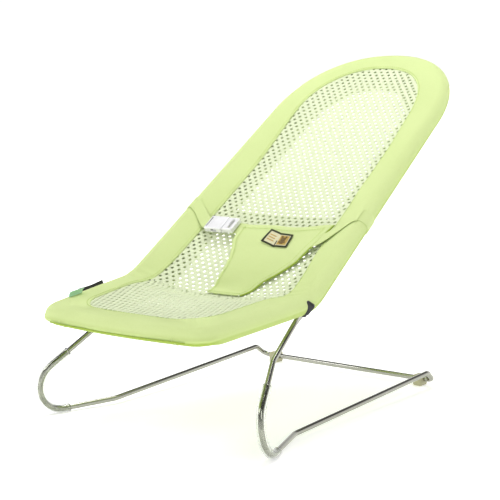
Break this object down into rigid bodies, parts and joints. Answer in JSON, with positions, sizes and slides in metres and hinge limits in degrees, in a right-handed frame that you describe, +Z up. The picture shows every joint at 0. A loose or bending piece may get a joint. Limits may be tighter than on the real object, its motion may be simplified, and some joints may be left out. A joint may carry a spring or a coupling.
{
  "type": "baby bouncer seat",
  "caption": "Baby bouncer seat with a bent tube loop, a mesh-panelled fabric cover, a buckled harness and a sprung wire base.",
  "frame": {"origin": "on the floor, below the centre of the bounding box", "axes": "+Z up, +Y towards the head end, +X to the baby's left"},
  "size_m": [0.4202, 0.7216, 0.527],
  "materials": {
    "lime_fabric": "plain weave polyester, matt",
    "mesh_fabric": "open warp-knit mesh",
    "steel_wire": "polished spring steel",
    "tube_steel": "zinc-plated tube, satin",
    "clear_sleeve": "clear soft PVC, glossy",
    "foot_rubber": "translucent moulded rubber, matt",
    "black_plastic": "moulded nylon",
    "white_plastic": "moulded acetal",
    "badge_patch": "woven patch with a dark edge",
    "black_ribbon": "woven ribbon",
    "mint_ribbon": "satin ribbon",
    "closure_tape": "hook and loop tape"
  },
  "bodies": {
    "base": {"base_wire": "steel_wire", "front_sleeve_left": "clear_sleeve", "front_sleeve_right": "clear_sleeve", "rear_foot_left": "foot_rubber", "rear_foot_right": "foot_rubber", "foot_screw_left": "steel_wire", "foot_screw_right": "steel_wire"},
    "seat": {"anchor_band_left": "lime_fabric", "anchor_band_right": "lime_fabric", "back_hem": "lime_fabric", "back_mesh": "mesh_fabric", "back_tube": "tube_steel", "back_under_hem": "lime_fabric", "badge": "badge_patch", "buckle_body": "white_plastic", "buckle_strap": "lime_fabric", "care_tag": "black_ribbon", "closure_hook": "closure_tape", "closure_loop": "closure_tape", "cover_front_border": "lime_fabric", "cover_head_border": "lime_fabric", "cover_left_border": "lime_fabric", "cover_right_border": "lime_fabric", "crotch_panel": "lime_fabric", "crotch_patch": "lime_fabric", "leg_wire_left": "steel_wire", "leg_wire_right": "steel_wire", "rear_belt": "lime_fabric", "seat_hem": "lime_fabric", "seat_mesh": "mesh_fabric", "seat_tube": "tube_steel", "seat_under_hem": "lime_fabric", "size_tag": "mint_ribbon", "socket_left": "black_plastic", "socket_right": "black_plastic", "waist_strap": "lime_fabric"},
    "buckle_plug": {"buckle_plug": "white_plastic", "plug_webbing": "lime_fabric"},
    "prong_upper": {"buckle_prong_upper": "white_plastic"},
    "prong_lower": {"buckle_prong_lower": "white_plastic"},
    "lock_button_left": {"lock_button_left": "black_plastic"},
    "lock_button_right": {"lock_button_right": "black_plastic"}
  },
  "joints": [
    {"name": "seat_bounce", "type": "hinge", "parent": "base", "child": "seat", "pos_m": [0, -0.26035, 0.0966], "axis": [1, 0, 0], "range_deg": [-6, 4], "stiffness_Nm_per_rad": 220, "springref_deg": 1.19},
    {"name": "plug_release", "type": "slide", "parent": "seat", "child": "buckle_plug", "axis": [1, 0, 0], "range_m": [0, 0.028]},
    {"name": "prong_upper_press", "type": "hinge", "parent": "buckle_plug", "child": "prong_upper", "pos_m": [-0.0688, -0.02224, 0.27312], "axis": [0, -0.5621, 0.8271], "range_deg": [0, 6], "stiffness_Nm_per_rad": 0.6},
    {"name": "prong_lower_press", "type": "hinge", "parent": "buckle_plug", "child": "prong_lower", "pos_m": [-0.0688, -0.03646, 0.26346], "axis": [0, -0.5621, 0.8271], "range_deg": [-6, 0], "stiffness_Nm_per_rad": 0.6},
    {"name": "lock_button_left_press", "type": "slide", "parent": "seat", "child": "lock_button_left", "axis": [-1, 0, 0], "range_m": [0, 0.0015], "stiffness_N_per_m": 900},
    {"name": "lock_button_right_press", "type": "slide", "parent": "seat", "child": "lock_button_right", "axis": [1, 0, 0], "range_m": [0, 0.0015], "stiffness_N_per_m": 900}
  ]
}
